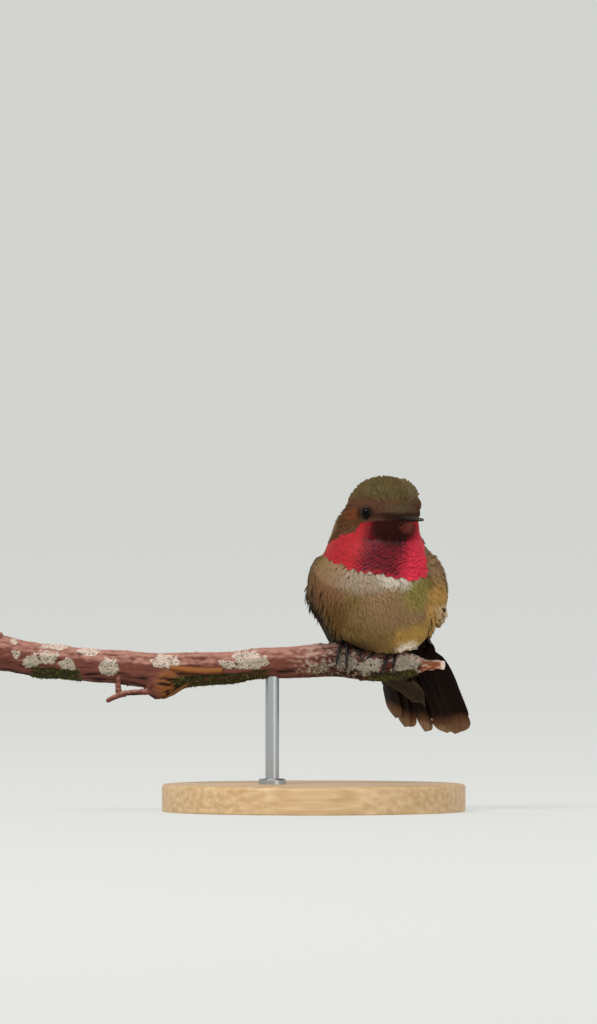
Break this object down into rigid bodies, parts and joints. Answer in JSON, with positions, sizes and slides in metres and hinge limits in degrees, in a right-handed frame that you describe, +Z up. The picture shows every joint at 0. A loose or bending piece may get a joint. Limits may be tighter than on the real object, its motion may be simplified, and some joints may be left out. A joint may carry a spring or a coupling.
{
  "type": "hummingbird",
  "caption": "Small red-throated hummingbird, puffed up and perched on a cut branch, as a still life-size display model on a plain round stand.",
  "frame": {"origin": "centre of the display base's underside", "axes": "+Z up; +X along the branch towards its torn tip, to the bird's left; the breast faces -Y"},
  "size_m": [0.1042, 0.066, 0.0725],
  "materials": {
    "crown_feathers": "olive-brown contour feathers, slightly glossy",
    "throat_feathers": "rose-red scale-like throat feathers with a metallic sheen",
    "breast_feathers": "soft buff and white body feathers, matte",
    "flight_feathers": "stiff dusky brown vanes, satin",
    "tail_feathers": "blackish vanes with cinnamon tips, satin",
    "bill_horn": "black horn, satin",
    "eye": "wet, very glossy",
    "leg_skin": "fine scales, matte",
    "bark": "rough bark with pale lichen and green moss",
    "base_wood": "turned pale wood, satin",
    "rod_steel": "brushed lengthwise"
  },
  "bodies": {
    "root": {"head": "crown_feathers", "neck": "throat_feathers", "trunk": "breast_feathers", "bill_upper": "bill_horn", "bill_lower": "bill_horn", "eye_left": "eye", "eye_right": "eye", "wing_left_coverts": "crown_feathers", "wing_left_primaries": "flight_feathers", "wing_left_secondaries": "flight_feathers", "wing_right_coverts": "crown_feathers", "wing_right_primaries": "flight_feathers", "wing_right_secondaries": "flight_feathers", "tail_feather_left_1": "tail_feathers", "tail_feather_left_2": "tail_feathers", "tail_feather_left_3": "tail_feathers", "tail_feather_left_4": "tail_feathers", "tail_feather_left_5": "tail_feathers", "tail_feather_right_1": "tail_feathers", "tail_feather_right_2": "tail_feathers", "tail_feather_right_3": "tail_feathers", "tail_feather_right_4": "tail_feathers", "tail_feather_right_5": "tail_feathers", "undertail_coverts": "breast_feathers", "uppertail_coverts": "crown_feathers", "leg_left": "leg_skin", "toe_left_front_inner": "leg_skin", "claw_left_front_inner": "bill_horn", "toe_left_front_middle": "leg_skin", "claw_left_front_middle": "bill_horn", "toe_left_front_outer": "leg_skin", "claw_left_front_outer": "bill_horn", "toe_left_back": "leg_skin", "claw_left_back": "bill_horn", "leg_right": "leg_skin", "toe_right_front_inner": "leg_skin", "claw_right_front_inner": "bill_horn", "toe_right_front_middle": "leg_skin", "claw_right_front_middle": "bill_horn", "toe_right_front_outer": "leg_skin", "claw_right_front_outer": "bill_horn", "toe_right_back": "leg_skin", "claw_right_back": "bill_horn", "perch_branch": "bark", "stand_rod": "rod_steel", "stand_base": "base_wood"}
  },
  "joints": []
}
